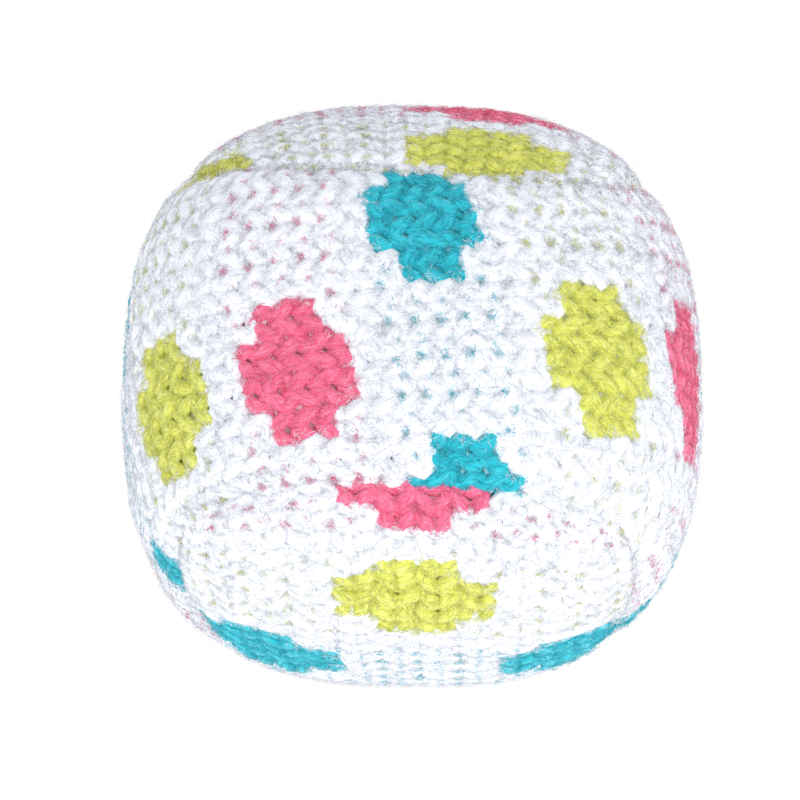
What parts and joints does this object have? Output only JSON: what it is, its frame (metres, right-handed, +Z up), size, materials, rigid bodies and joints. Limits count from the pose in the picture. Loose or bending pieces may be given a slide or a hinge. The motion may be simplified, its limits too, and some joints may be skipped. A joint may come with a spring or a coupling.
{
  "type": "knitted ball",
  "caption": "Soft stuffed toy ball sewn from knitted strips, white with pink, lime and turquoise polka dots.",
  "frame": {"origin": "middle of the small flat that the ball rests on, at the middle of its bottom", "axes": "+Z up, through the middle of the top strip; +X along the top strip; +Y along the bottom strip"},
  "size_m": [0.09, 0.0872, 0.0855],
  "materials": {
    "white_yarn": "soft brushed knitting yarn",
    "pink_yarn": "soft brushed knitting yarn",
    "lime_yarn": "soft brushed knitting yarn",
    "turquoise_yarn": "soft brushed knitting yarn",
    "seam_yarn": "soft brushed knitting yarn",
    "filling": "loose polyester fibre"
  },
  "bodies": {
    "root": {"fibre_filling": "filling", "top_strip_white_knit": "white_yarn", "top_strip_lime_band_1": "lime_yarn", "top_strip_pink_band_1": "pink_yarn", "top_strip_turquoise_band_1": "turquoise_yarn", "top_strip_lime_band_2": "lime_yarn", "top_strip_pink_band_2": "pink_yarn", "top_strip_turquoise_band_2": "turquoise_yarn", "top_strip_lime_band_3": "lime_yarn", "top_strip_pink_band_3": "pink_yarn", "top_strip_turquoise_band_3": "turquoise_yarn", "top_strip_lime_band_4": "lime_yarn", "top_strip_pink_band_4": "pink_yarn", "bottom_strip_white_knit": "white_yarn", "bottom_strip_lime_band_1": "lime_yarn", "bottom_strip_pink_band_1": "pink_yarn", "bottom_strip_turquoise_band_1": "turquoise_yarn", "bottom_strip_lime_band_2": "lime_yarn", "bottom_strip_pink_band_2": "pink_yarn", "bottom_strip_turquoise_band_2": "turquoise_yarn", "bottom_strip_lime_band_3": "lime_yarn", "bottom_strip_pink_band_3": "pink_yarn", "bottom_strip_turquoise_band_3": "turquoise_yarn", "bottom_strip_lime_band_4": "lime_yarn", "bottom_strip_pink_band_4": "pink_yarn", "seam_yarn": "seam_yarn"}
  },
  "joints": []
}
